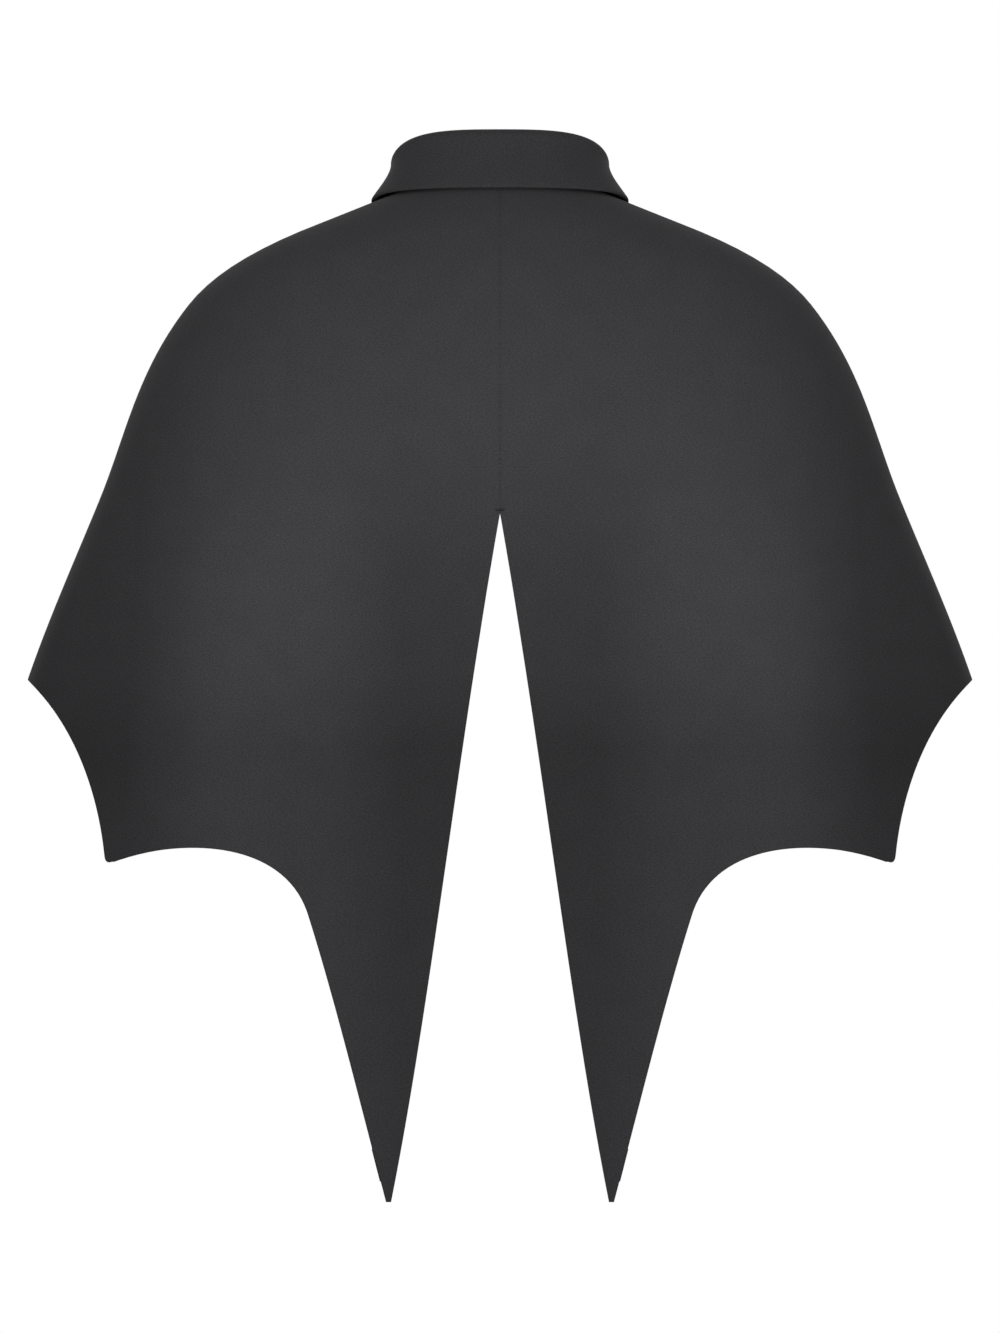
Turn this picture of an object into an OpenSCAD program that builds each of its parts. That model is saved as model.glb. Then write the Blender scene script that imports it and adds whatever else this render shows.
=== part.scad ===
// A short tailored cape of thick felted wool with a turned-down collar and a bat-wing hem.
// Millimetres. +Z is up, +Y is the wearer's back, +X is the wearer's left.
// The origin is the centre of the neck opening.

/* [Neck and shoulders] */
// Half of the neck opening's width, at the shoulder seams
neck_half_width = 78; // [74:1:80]
// Depth of the neck opening behind the origin
neck_back = 66; // [63:1:70]
// Depth of the neck opening in front of the origin
neck_front = 60; // [57:1:64]
// Height of the shoulder neck points above the origin
neck_level = 4; // [2:0.5:6]
// How far the back bulges out below the neck
back_bulge = 56; // [45:1:65]
// How far the front bulges out below the neck
front_bulge = 52; // [42:1:60]

/* [Bat-wing hem] */
// Half of the width over the wing tips
wing_half_width = 378; // [366:1:390]
// Drop of the wing tips below the origin
wing_drop = 384; // [376:1:392]
// Half of the width over the two side points of the back hem
side_point_half = 314; // [306:1:322]
// Drop of the side points
side_point_drop = 530; // [522:1:538]
// Half of the distance between the tail tips
tail_half = 88; // [84:1:94]
// Drop of the tail tips
tail_drop = 797; // [780:1:815]
// Drop of the top of the centre-back vent
vent_drop = 252; // [240:1:262]
// Half of the distance between the front corner tips
corner_half = 94; // [90:1:100]
// Drop of the front corner tips
corner_drop = 604; // [590:1:610]

/* [Collar] */
// Height of the collar's roll above the origin, at the centre back
collar_height = 55; // [52:1:60]
// Half-width of the collar's roll line
roll_half_width = 81; // [79:1:83]
// Radius of the roll, to the middle of the cloth
roll_radius = 4.6; // [4.4:0.1:5]

/* [Closure] */
// Length of the front tab
tab_length = 86; // [80:1:92]
// Width of the front tab
tab_width = 25; // [22:1:28]
// Diameter of the press stud's cap
cap_diameter = 15; // [12:0.5:16]

/* [Cloth] */
// Thickness of the outer wool
wool = 1.8; // [1.4:0.1:2]
// Thickness of facings and pressed seam allowances
facing = 1; // [0.8:0.1:1.2]
// Thickness of the lining
lining = 0.5; // [0.4:0.05:0.6]

/* [Hidden] */

wool_color = "#3a3a3c";
lining_color = "#1d1d20";
canvas_color = "#8d8a82";
metal_color = "#55565a";
thread_color = "#2b2b2d";

// Depths of the layers below the cloth's outer surface
air = 0.3;
seam_top = wool + air;
facing_top = seam_top + facing + air;
lining_top = facing_top + 0.8;
label_top = facing_top + facing + air;

// Overarm silhouette: knots of [height, half-width, half-width gained per unit of height]
OVERARM = [
    [neck_level, neck_half_width, -2.6],
    [-26, 155.5, -2.65],
    [-84, 249, -0.8],
    [-240, 320.5, -0.41],
    [-wing_drop, wing_half_width, -0.34]
];
back_flare = 0.09;
front_flare = 0.06;
bulge_reach_back = 70;
bulge_reach_front = 60;

// The neck line tilts up at the nape and down at the throat, and the tilt fades out below
nape_tilt = 0.21;
throat_tilt = 0.55;
tilt_reach = 154;

// The back curves in towards the vent: depth at the tail tips, half-width and start
hollow_depth = 55;
hollow_half = 75;
hollow_start = -150;

// Hem curves, as cubic Bezier control points in [half-width, height]
WING_TIP = [wing_half_width, -wing_drop];
SIDE_POINT = [side_point_half, -side_point_drop];
VENT_TOP = [0.01, -vent_drop];
ARCH_FOOT = [151.5, -572];
TAIL_TIP = [tail_half, -tail_drop];
tip_half = 2;
BACK_SCALLOP = [WING_TIP, [337, -421], [318, -480], SIDE_POINT];
BACK_ARCH = [SIDE_POINT, [260, -509], [170, -507], ARCH_FOOT];
TAIL_SIDE = [ARCH_FOOT, [130, -640], [110, -722], TAIL_TIP + [tip_half, 0]];
VENT_EDGE = [VENT_TOP, [33.5, -440], [54.5, -640], TAIL_TIP - [tip_half, 0]];

FRONT_POINT = [280, -500];
FRONT_TOP = [11, neck_level];
FRONT_FOLD = [18, -150];
FRONT_ARCH_FOOT = [138, -520];
CORNER_TIP = [corner_half, -corner_drop];
FRONT_SCALLOP = [WING_TIP, [338, -418], [300, -455], FRONT_POINT];
FRONT_ARCH = [FRONT_POINT, [235, -478], [165, -470], FRONT_ARCH_FOOT];
CORNER_SIDE = [FRONT_ARCH_FOOT, [126, -548], [108, -580], CORNER_TIP + [tip_half, 0]];
FRONT_EDGE = [FRONT_FOLD, [30, -290], [58, -440], CORNER_TIP - [tip_half, 0]];

// Share of the upper rows that end on the overarm seam, and of the lower rows that end on the arch
wing_row = 0.62;
arch_row = 0.45;
// Share of the upper rows that start on the centre back seam, and of the vent's edge above the fold
vent_row = 0.8;
vent_fold = 0.18;
// Rows bunch towards the neck by these powers
seam_bunching = 1.15;
overarm_bunching = 1.3;
// Columns bunch towards the overarm seam and the hem points by this power
column_bunching = 1.3;
// Half of the gap at the fold between a fixed panel and its free corner, in rows
fold_gap = 0.003;

facing_width = 55;
vent_facing_width = 24;
allowance_width = 12;
stay_width = 8;

// Collar, around the neck from the centre back (0) to each front end
collar_end = 171;
collar_step = 9;
collar_layer = 1.2;
collar_canvas = 0.6;
collar_gap = 0.3;
collar_drop_side = 21;
collar_drop_power_back = 1.6;
collar_drop_power_front = 1.35;
collar_edge_back = -9.5;
collar_edge_side = -5;
collar_edge_front = -40;
collar_rest = 0.9;

// The tab lies flat on the fronts, leaning with them
tab_place = [0, -115.2, -118];
tab_lean = -20;
tab_layer = 1.2;
tab_canvas = 0.5;
tab_hinge_x = 31;
tab_gap = 0.4;
tab_rest = 4.3;
tab_back = tab_layer + tab_canvas + lining;
snap_x = -28;
snap_hole_r = 2.5;
stud_r = 2.1;

loop_r = 24;
loop_cord_r = 1.8;
loop_place = [0, 59.5, 12];

function blend(p, q, t) = p + (q - p) * t;
function clamped(t) = min(1, max(0, t));
function smooth(t) = let(c = clamped(t)) c * c * (3 - 2 * c);
function unit(v) = v / norm(v);
function bezier(p, t) =
    let(u = 1 - t)
    u * u * u * p[0] + 3 * u * u * t * p[1] + 3 * u * t * t * p[2] + t * t * t * p[3];

// Cubic through two knots of [place, value, slope]
function knot_curve(p, q, h) =
    let(d = q[0] - p[0], t = (h - p[0]) / d)
    (1 + 2 * t) * (1 - t) * (1 - t) * p[1] + t * (1 - t) * (1 - t) * d * p[2]
    + t * t * (3 - 2 * t) * q[1] - t * t * (1 - t) * d * q[2];

// Half-width of the cape at height h on the overarm seam; straight flare below the wing tips
function half_width(h, k = 0) =
    h < OVERARM[4][0] ? wing_half_width + OVERARM[4][2] * (h - OVERARM[4][0])
    : h >= OVERARM[k + 1][0] ? knot_curve(OVERARM[k], OVERARM[k + 1], h)
    : half_width(h, k + 1);

// Depth of the back (side 1) or front (side -1) from the overarm plane
function depth(h, face) =
    face > 0
    ? neck_back + back_bulge * (1 - exp((h - neck_level) / bulge_reach_back)) + back_flare * (neck_level - h)
    : neck_front + front_bulge * (1 - exp((h - neck_level) / bulge_reach_front))
        + front_flare * (neck_level - h);

function tilt(h, face) =
    (face > 0 ? nape_tilt : throat_tilt) * (1 - smooth((neck_level - h) / tilt_reach));

function hollow(x, h, face) =
    face > 0
    ? hollow_depth * clamped((hollow_start - h) / (tail_drop + hollow_start)) * exp(-pow(x / hollow_half, 2))
    : 0;

// Point of the cloth's outer surface: angle from the centre line, height on the overarm seam, back or front
function cloth_point(a, h, face) =
    let(
        x = half_width(h) * sin(a),
        y = face * depth(h, face) * cos(a)
    )
    [x, y - face * hollow(x, h, face), h + tilt(h, face) * y];

function outward(a, h, face) =
    let(
        across = cloth_point(a + 0.5, h, face) - cloth_point(a - 0.5, h, face),
        down = cloth_point(a, h - 0.5, face) - cloth_point(a, h + 0.5, face)
    )
    face * unit(cross(across, down));

function below_cloth(a, h, face, d) = cloth_point(a, h, face) - d * outward(a, h, face);

// [angle, height] on the surface of a hem point given as [half-width, height]
function hem_place(p) = [asin(clamped(p[0] / half_width(p[1]))), p[1]];

// Inner end of row t of a back panel: down the centre back seam, then down the vent's edge
function back_edge(t) =
    t <= vent_row
    ? [0.01, blend(neck_level, -vent_drop, pow(t / vent_row, seam_bunching))]
    : t <= 1 ? hem_place(bezier(VENT_EDGE, vent_fold * (t - vent_row) / (1 - vent_row)))
    : hem_place(bezier(VENT_EDGE, blend(vent_fold, 1, t - 1)));

// Both ends of row t of a back panel: 0 is the neck, 1 the fold from vent to side point, 2 the tail tip
function back_row(t) =
    t <= 1
    ? [
        back_edge(t),
        t <= wing_row
        ? [90, blend(neck_level, -wing_drop, pow(t / wing_row, overarm_bunching))]
        : hem_place(bezier(BACK_SCALLOP, pow((t - wing_row) / (1 - wing_row), 1.5)))
    ]
    : [
        back_edge(t),
        t <= 1 + arch_row
        ? hem_place(bezier(BACK_ARCH, (t - 1) / arch_row))
        : hem_place(bezier(TAIL_SIDE, (t - 1 - arch_row) / (1 - arch_row)))
    ];

function front_row(t) =
    t <= 1
    ? [
        hem_place(blend(FRONT_TOP, FRONT_FOLD, pow(t, seam_bunching))),
        t <= wing_row
        ? [90, blend(neck_level, -wing_drop, pow(t / wing_row, overarm_bunching))]
        : hem_place(bezier(FRONT_SCALLOP, pow((t - wing_row) / (1 - wing_row), 1.5)))
    ]
    : [
        hem_place(bezier(FRONT_EDGE, t - 1)),
        t <= 1 + arch_row
        ? hem_place(bezier(FRONT_ARCH, (t - 1) / arch_row))
        : hem_place(bezier(CORNER_SIDE, (t - 1 - arch_row) / (1 - arch_row)))
    ];

function row_of(t, face) = face > 0 ? back_row(t) : front_row(t);
function row_length(row, face) =
    norm(cloth_point(row[1][0], row[1][1], face) - cloth_point(row[0][0], row[0][1], face));

// Closed solid between an upper and a lower grid of points with the same rows and columns
module skin(upper, lower, flipped = false) {
    rows = len(upper);
    columns = len(upper[0]);
    function at(layer, i, j) = layer * rows * columns + i * columns + j;
    function quad(a, b, c, d) = flipped ? [[a, c, b], [a, d, c]] : [[a, b, c], [a, c, d]];
    points = [for (grid = [upper, lower]) for (row = grid) for (p = row) p];
    faces = [
        for (i = [0:rows - 2]) for (j = [0:columns - 2]) for (layer = [0, 1])
            let(k = 1 - layer)
            each quad(
                at(layer, i, j), at(layer, i + k, j + layer),
                at(layer, i + 1, j + 1), at(layer, i + layer, j + k)
            ),
        for (i = [0:rows - 2]) each quad(at(0, i, 0), at(1, i, 0), at(1, i + 1, 0), at(0, i + 1, 0)),
        for (i = [0:rows - 2]) each quad(
            at(0, i + 1, columns - 1), at(1, i + 1, columns - 1), at(1, i, columns - 1), at(0, i, columns - 1)
        ),
        for (j = [0:columns - 2]) each quad(at(0, 0, j + 1), at(1, 0, j + 1), at(1, 0, j), at(0, 0, j)),
        for (j = [0:columns - 2]) each quad(
            at(0, rows - 1, j), at(1, rows - 1, j), at(1, rows - 1, j + 1), at(0, rows - 1, j + 1)
        )
    ];
    polyhedron(points, faces, convexity = 4);
}

// Rows of the fixed panels, with one on the wing tip and one on the vent's top, and of the free corners,
// with one on the arch's foot
UPPER_ROWS = concat(
    [for (i = [0:8]) wing_row * i / 9],
    [wing_row, (wing_row + vent_row) / 2],
    [for (i = [0:2]) blend(vent_row, 1 - fold_gap, i / 2)]
);
LOWER_ROWS = concat(
    [for (i = [0:5]) blend(1 + fold_gap, 1 + arch_row, i / 6)],
    [for (i = [0:6]) blend(1 + arch_row, 2, i / 6)]
);
function rows_between(rows, t0, t1) = [for (t = rows) if (t >= t0 && t <= t1) t];

// A layer of one panel, over the given rows. Its sides are [share of the row, millimetres along it].
// vent_from is its start beside the vent, and first its first column's end, both in millimetres.
module panel(face, side, rows, from, to, top, thickness, columns, vent_from = 0, first = 0) {
    function grid(d) = [
        for (t = rows)
            let(
                row = row_of(t, face),
                length = row_length(row, face),
                s0 = from[0] + (vent_from > 0 && t >= vent_row ? vent_from : from[1]) / length,
                s1 = min(to[0] + to[1] / length, 1 - air / length),
                kept = first > 0 ? 1 : 0,
                s2 = first > 0 ? first / length : s0
            )
            [
                for (j = [0:columns])
                    let(
                        share = 1 - pow(1 - (j - kept) / (columns - kept), column_bunching),
                        q = blend(row[0], row[1], j < kept ? s0 : blend(s2, s1, share)),
                        p = below_cloth(q[0], q[1], face, d)
                    )
                    [side * p[0], p[1], p[2]]
            ]
    ];
    skin(grid(top), grid(top + thickness), flipped = face * side < 0);
}

// A band round the neck at the back, between two angles and two heights
module neck_band(angle, h0, h1, top, thickness, rows, columns) {
    function grid(d) = [
        for (i = [0:rows])
            [for (j = [0:columns])
                below_cloth(blend(-angle, angle, j / columns), blend(h0, h1, i / rows), 1, d)]
    ];
    skin(grid(top), grid(top + thickness));
}

module back_shell(side)
    color(wool_color)
        panel(1, side, UPPER_ROWS, [0, air], [1, -air], 0, wool, 11, first = allowance_width);
module tail_shell(side)
    color(wool_color) panel(1, side, LOWER_ROWS, [0, 0], [1, 0], 0, wool, 8);
module front_shell(side)
    color(wool_color) panel(-1, side, UPPER_ROWS, [0, 0], [1, -air], 0, wool, 10);
module front_flap_shell(side)
    color(wool_color) panel(-1, side, LOWER_ROWS, [0, 0], [1, 0], 0, wool, 7);

module back_lining(side)
    color(lining_color)
        panel(
            1, side, rows_between(UPPER_ROWS, 0.2, 1), [0, air], [1, -2], lining_top, lining, 10,
            vent_from = vent_facing_width + 1
        );
module tail_lining(side)
    color(lining_color) panel(
        1, side, rows_between(LOWER_ROWS, 1, 1.8), [0, vent_facing_width + 1], [1, -2], lining_top, lining, 6
    );
module front_lining(side)
    color(lining_color)
        panel(-1, side, UPPER_ROWS, [0, facing_width + 1], [1, -2], lining_top, lining, 9);
module front_flap_lining(side)
    color(lining_color) panel(
        -1, side, rows_between(LOWER_ROWS, 1, 1.6), [0, facing_width + 1], [1, -2], lining_top, lining, 5
    );

module front_facing(side)
    color(wool_color)
        panel(-1, side, UPPER_ROWS, [0, air], [0, facing_width], facing_top, facing, 3);
module front_flap_facing(side)
    color(wool_color) panel(
        -1, side, rows_between(LOWER_ROWS, 1, 1.95), [0, air], [0, facing_width], facing_top, facing, 3
    );
module vent_facing(side)
    color(wool_color) panel(
        1, side, rows_between(LOWER_ROWS, 1, 1.95), [0, air], [0, vent_facing_width], facing_top, facing, 2
    );
module vent_facing_top(side)
    color(wool_color) panel(
        1, side, rows_between(UPPER_ROWS, vent_row, 1), [0, air], [0, vent_facing_width], facing_top, facing, 2
    );
module back_neck_facing()
    color(wool_color) neck_band(78, neck_level - 1, -24, facing_top, facing, 4, 26);
module neck_stay_tape()
    color(canvas_color)
        neck_band(78, neck_level - 1, neck_level - stay_width / 2, seam_top + air, lining, 1, 26);

module centre_back_allowance(side)
    color(wool_color) panel(
        1, side, rows_between(UPPER_ROWS, 0.1, vent_row), [0, air], [0, allowance_width], seam_top, facing, 1
    );
module overarm_allowance(side)
    color(wool_color) panel(
        1, side, rows_between(UPPER_ROWS, 0.05, 0.6), [1, -allowance_width], [1, -air], seam_top, facing, 2
    );

// Height on the cape at which the fall's lower edge rests, by angle from the centre back
function edge_height(a) =
    a < 90
    ? blend(collar_edge_back, collar_edge_side, smooth(a / 90))
    : blend(collar_edge_side, collar_edge_front, smooth((a - 90) / (collar_end - 90)));

function on_cape(a, h, up) =
    let(face = a <= 90 ? 1 : -1, angle = a <= 90 ? a : 180 - a)
    below_cloth(angle, h, face, -up);

// Middle of the collar's cloth at angle a round the neck. u runs 0 to 1 up the stand, 1 to 2 over the roll
// and 2 to 3 down the fall.
function collar_middle(a, u) =
    let(
        half = collar_layer + collar_canvas / 2 + collar_gap,
        around = [sin(a), cos(a), 0],
        seam = on_cape(a, neck_level, half + 1.5),
        roll_depth = a <= 90 ? neck_back - 5 : neck_front + 3,
        power = a <= 90 ? collar_drop_power_back : collar_drop_power_front,
        top = collar_height - half - roll_radius - collar_drop_side * pow(1 - cos(a), power),
        roll = [roll_half_width * sin(a), roll_depth * cos(a), top],
        out = unit([sin(a) / roll_half_width, cos(a) / roll_depth, 0]),
        inside = roll - roll_radius * out,
        outside = roll + roll_radius * out,
        edge = on_cape(a, edge_height(a), half + collar_rest),
        fall = norm(edge - outside)
    )
    u <= 1 ? blend(seam, inside, u) + 1.5 * sin(180 * u) * around
    : u <= 2 ? roll - roll_radius * cos(180 * (u - 1)) * out + roll_radius * sin(180 * (u - 1)) * [0, 0, 1]
    : bezier([outside, outside - [0, 0, 0.35 * fall], blend(outside, edge, 0.72) - 1.2 * out, edge], u - 2);

// The side of the cloth that shows on the fall is the side towards the neck on the stand
function collar_point(a, u, d) =
    let(
        b = abs(a),
        across = collar_middle(b + 0.5, u) - collar_middle(b - 0.5, u),
        along = collar_middle(b, min(3, u + 0.01)) - collar_middle(b, max(0, u - 0.01)),
        p = collar_middle(b, u) + d * unit(cross(across, along))
    )
    [a < 0 ? -p[0] : p[0], p[1], p[2]];

module collar_piece(stations, top, thickness) {
    function grid(d) = [
        for (u = stations)
            [for (a = [-collar_end:collar_step:collar_end]) collar_point(a == 0 ? 0.01 : a, u, d)]
    ];
    skin(grid(top), grid(top - thickness));
}

fall_stations = [1.2, 1.4, 1.6, 1.8, 2, 2.25, 2.5, 2.75, 3];
under_stations = [1.2, 1.4, 1.6, 1.8, 2, 2.25, 2.5, 2.75, 2.97];
stand_stations = [0, 0.5, 1, 1.17];
canvas_top = collar_canvas / 2;
outer_top = canvas_top + collar_gap + collar_layer;

module collar_fall_upper()
    color(wool_color) collar_piece(fall_stations, outer_top, collar_layer);
module collar_fall_interlining()
    color(canvas_color) collar_piece(under_stations, canvas_top, collar_canvas);
module collar_fall_under()
    color(wool_color) collar_piece(under_stations, -canvas_top - collar_gap, collar_layer);
module collar_stand_inner()
    color(wool_color) collar_piece(stand_stations, outer_top, collar_layer);
module collar_stand_interlining()
    color(canvas_color) collar_piece(stand_stations, canvas_top, collar_canvas);
module collar_stand_outer()
    color(wool_color) collar_piece(stand_stations, -canvas_top - collar_gap, collar_layer);

// The tab's own space: x along it, y into the cape, z up
module at_tab() {
    translate(tab_place) rotate([tab_lean, 0, 0]) children();
}
// A slab of the free tab between two depths, with one round end, cut round the press stud's stem
module tab_plate(y0, y1, inset) {
    r = tab_width / 2 - inset;
    round_x = tab_width / 2 - tab_length / 2;
    at_tab() translate([0, y1, 0]) rotate([90, 0, 0]) linear_extrude(y1 - y0) difference() {
        union() {
            translate([round_x, -r]) square([tab_hinge_x - tab_gap - round_x, 2 * r]);
            translate([round_x, 0]) circle(r);
        }
        translate([snap_x, 0]) circle(snap_hole_r, $fn = 48);
    }
}
module front_tab_outer() color(wool_color) tab_plate(0, tab_layer, 0);
module front_tab_interlining() color(canvas_color) tab_plate(tab_layer, tab_layer + tab_canvas, 1.5);
module front_tab_lining() color(lining_color) tab_plate(tab_layer + tab_canvas, tab_back, 0.6);
// The tab's sewn end, turned under and stitched down on the left front
module front_tab_anchor() {
    color(wool_color) at_tab() translate([tab_hinge_x, 0, -tab_width / 2])
        cube([tab_length / 2 - tab_hinge_x, tab_rest, tab_width]);
}

// Turned about the stud's axis, which points into the cape
module at_snap() {
    at_tab() translate([snap_x, 0, 0]) rotate([-90, 0, 0]) children();
}
module snap_cap() {
    color(metal_color) at_snap() rotate_extrude($fn = 64) polygon([
        [0, -2], [4, -1.8], [cap_diameter / 2 - 1.2, -1], [cap_diameter / 2, -0.3], [cap_diameter / 2, -0.02],
        [2.4, -0.02], [2.4, 1], [0, 1]
    ]);
}
module snap_socket() {
    color(metal_color) at_snap() rotate_extrude($fn = 64) polygon([
        [0, 1.05], [2.4, 1.05], [2.4, tab_back + 0.02], [5.5, tab_back + 0.02], [5.2, tab_back + 1.2],
        [stud_r + 0.5, tab_back + 1.6], [stud_r + 0.5, tab_back + 0.3], [0, tab_back + 0.3]
    ]);
}
module snap_stud() {
    color(metal_color) at_snap() rotate_extrude($fn = 64) polygon([
        [0, tab_back + 0.6], [stud_r - 0.4, tab_back + 0.6],
        [stud_r, tab_back + 1], [stud_r - 0.2, tab_back + 1.9],
        [5.5, tab_back + 1.9], [5.5, tab_back + 2.5], [0, tab_back + 2.5]
    ]);
}
module snap_post() {
    color(metal_color) at_snap() rotate_extrude($fn = 64) polygon([
        [0, tab_back + 2.55], [1.4, tab_back + 2.55], [1.4, tab_back + 7.6], [5, tab_back + 7.6],
        [5, tab_back + 8.4], [0, tab_back + 8.4]
    ]);
}

// A rouleau that hangs in a half circle under the inside of the neck seam
module hanger_loop() {
    color(lining_color) translate(loop_place) rotate([90, 0, 0])
        rotate_extrude(angle = -180, $fn = 96) translate([loop_r, 0]) circle(loop_cord_r, $fn = 32);
}
module neck_label() {
    color(thread_color) neck_band(16, -6, -20, label_top, lining, 2, 6);
}
// A short bar of thread across the top of the vent
module vent_bar_tack() {
    color(thread_color) translate(cloth_point(0, -vent_drop + 3, 1) + [0, 0.35, 0]) rotate([0, 90, 0])
        cylinder(h = 7, r = 0.8, center = true, $fn = 32);
}

back_shell(1);  // back_shell_left
back_shell(-1);  // back_shell_right
tail_shell(1);  // tail_shell_left
tail_shell(-1);  // tail_shell_right
front_shell(1);  // front_shell_left
front_shell(-1);  // front_shell_right
front_flap_shell(1);  // front_flap_shell_left
front_flap_shell(-1);  // front_flap_shell_right
back_lining(1);  // back_lining_left
back_lining(-1);  // back_lining_right
tail_lining(1);  // tail_lining_left
tail_lining(-1);  // tail_lining_right
front_lining(1);  // front_lining_left
front_lining(-1);  // front_lining_right
front_flap_lining(1);  // front_flap_lining_left
front_flap_lining(-1);  // front_flap_lining_right
front_facing(1);  // front_facing_left
front_facing(-1);  // front_facing_right
front_flap_facing(1);  // front_flap_facing_left
front_flap_facing(-1);  // front_flap_facing_right
vent_facing(1);  // vent_facing_left
vent_facing(-1);  // vent_facing_right
vent_facing_top(1);  // vent_facing_top_left
vent_facing_top(-1);  // vent_facing_top_right
back_neck_facing();
neck_stay_tape();
centre_back_allowance(1);  // centre_back_allowance_left
centre_back_allowance(-1);  // centre_back_allowance_right
overarm_allowance(1);  // overarm_allowance_left
overarm_allowance(-1);  // overarm_allowance_right
collar_fall_upper();
collar_fall_interlining();
collar_fall_under();
collar_stand_inner();
collar_stand_interlining();
collar_stand_outer();
front_tab_outer();
front_tab_interlining();
front_tab_lining();
front_tab_anchor();
snap_cap();
snap_socket();
snap_stud();
snap_post();
hanger_loop();
neck_label();
vent_bar_tack();
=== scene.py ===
"""The looks of a short felted-wool cape with a bat-wing hem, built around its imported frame.

The cloth follows the frame's own rule: a point is an angle from the centre line and a height on the overarm
seam. Sizes are millimetres, and each mesh is turned into metres when it is made.
"""

import math

import bpy
import numpy as np
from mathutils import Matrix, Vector


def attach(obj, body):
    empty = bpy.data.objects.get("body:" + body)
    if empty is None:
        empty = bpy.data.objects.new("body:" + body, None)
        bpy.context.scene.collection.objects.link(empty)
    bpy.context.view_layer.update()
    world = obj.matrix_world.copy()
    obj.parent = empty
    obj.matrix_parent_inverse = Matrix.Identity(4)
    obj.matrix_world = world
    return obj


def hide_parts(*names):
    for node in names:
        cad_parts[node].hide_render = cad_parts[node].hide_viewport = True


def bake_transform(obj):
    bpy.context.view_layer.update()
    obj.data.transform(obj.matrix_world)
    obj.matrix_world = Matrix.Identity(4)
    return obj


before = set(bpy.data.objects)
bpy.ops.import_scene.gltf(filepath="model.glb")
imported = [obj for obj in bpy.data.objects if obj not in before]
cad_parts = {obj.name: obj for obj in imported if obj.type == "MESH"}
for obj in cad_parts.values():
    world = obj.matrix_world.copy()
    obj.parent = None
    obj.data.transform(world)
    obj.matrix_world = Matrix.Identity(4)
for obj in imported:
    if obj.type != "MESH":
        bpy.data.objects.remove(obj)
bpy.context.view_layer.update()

MM = 0.001
BACK, FRONT = 1, -1
SIDES = {"left": 1, "right": -1}

# ---------------------------------------------------------------- the frame's driving dimensions

NECK_LEVEL = 4
NECK_BACK, NECK_FRONT = 66, 60
BACK_BULGE, FRONT_BULGE = 56, 52
BACK_REACH, FRONT_REACH = 70, 60
BACK_FLARE, FRONT_FLARE = 0.09, 0.06
NAPE_TILT, THROAT_TILT, TILT_REACH = 0.21, 0.55, 154
HOLLOW_DEPTH, HOLLOW_HALF, HOLLOW_START = 55, 75, -150
TAIL_DROP = 797

# Knots of the overarm silhouette: height, half-width, half-width gained per unit of height
OVERARM = [(4, 78, -2.6), (-26, 155.5, -2.65), (-84, 249, -0.8), (-240, 320.5, -0.41), (-384, 378, -0.34)]

# Hem curves as cubic Bezier control points: half-width, height
WING_TIP, SIDE_POINT, ARCH_FOOT = (378, -384), (314, -530), (151.5, -572)
TAIL_TIP_IN, TAIL_TIP_OUT = (86, -TAIL_DROP), (90, -TAIL_DROP)
BACK_SCALLOP = (WING_TIP, (337, -421), (318, -480), SIDE_POINT)
BACK_ARCH = (SIDE_POINT, (260, -509), (170, -507), ARCH_FOOT)
TAIL_SIDE = (ARCH_FOOT, (130, -640), (110, -722), TAIL_TIP_OUT)
VENT_EDGE = ((0.01, -252), (33.5, -440), (54.5, -640), TAIL_TIP_IN)
FRONT_TOP, FRONT_FOLD = (11, 4), (18, -150)
FRONT_POINT, FRONT_ARCH_FOOT = (280, -500), (138, -520)
FRONT_SCALLOP = (WING_TIP, (338, -418), (300, -455), FRONT_POINT)
FRONT_ARCH = (FRONT_POINT, (235, -478), (165, -470), FRONT_ARCH_FOOT)
CORNER_SIDE = (FRONT_ARCH_FOOT, (126, -548), (108, -580), (96, -604))
FRONT_EDGE = (FRONT_FOLD, (30, -290), (58, -440), (92, -604))
WING_ROW, ARCH_ROW = 0.62, 0.45
VENT_ROW, VENT_FOLD = 0.8, 0.18
POINT_ROUNDING = 0.012

# Thicknesses, and depths of the layers below the cloth's outer face
WOOL, FACING, LINING = 1.8, 1.0, 0.5
SEAM_TOP = 2.1
FACING_TOP = 3.4
LINING_TOP = 4.2
LABEL_TOP = 4.7
FACING_WIDTH, VENT_FACING_WIDTH, ALLOWANCE_WIDTH = 55, 24, 12

# Height of the soft folds below the shoulders
BACK_FOLD, FRONT_FOLD_DEPTH = 7.0, 3.0
FRONT_FOLDS = 9
# Angles from the centre back of the folds' ridges and valleys in turn
BACK_FOLD_LINES = [0, 13, 37, 62, 90]


# ---------------------------------------------------------------- the cloth's rule


def smooth(t):
    t = np.clip(t, 0, 1)
    return t * t * (3 - 2 * t)


def blend(p, q, t):
    return p + (q - p) * t


def bezier(points, t):
    """Points [half-width, height] of a cubic Bezier at the parameters t."""
    p = np.array(points, float)
    t = np.asarray(t, float)[..., None]
    u = 1 - t
    return u**3 * p[0] + 3 * u * u * t * p[1] + 3 * u * t * t * p[2] + t**3 * p[3]


def half_width(h):
    """Half-width at height h on the overarm seam: cubics through the knots, then a straight flare."""
    last = OVERARM[-1]
    width = last[1] + last[2] * (h - last[0])
    for (h0, w0, m0), (h1, w1, m1) in zip(OVERARM[:-1], OVERARM[1:]):
        d = h1 - h0
        t = (h - h0) / d
        curve = (1 + 2 * t) * (1 - t) ** 2 * w0 + t * (1 - t) ** 2 * d * m0
        curve = curve + t * t * (3 - 2 * t) * w1 - t * t * (1 - t) * d * m1
        width = np.where((h <= h0) & (h >= h1), curve, width)
    return width


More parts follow.
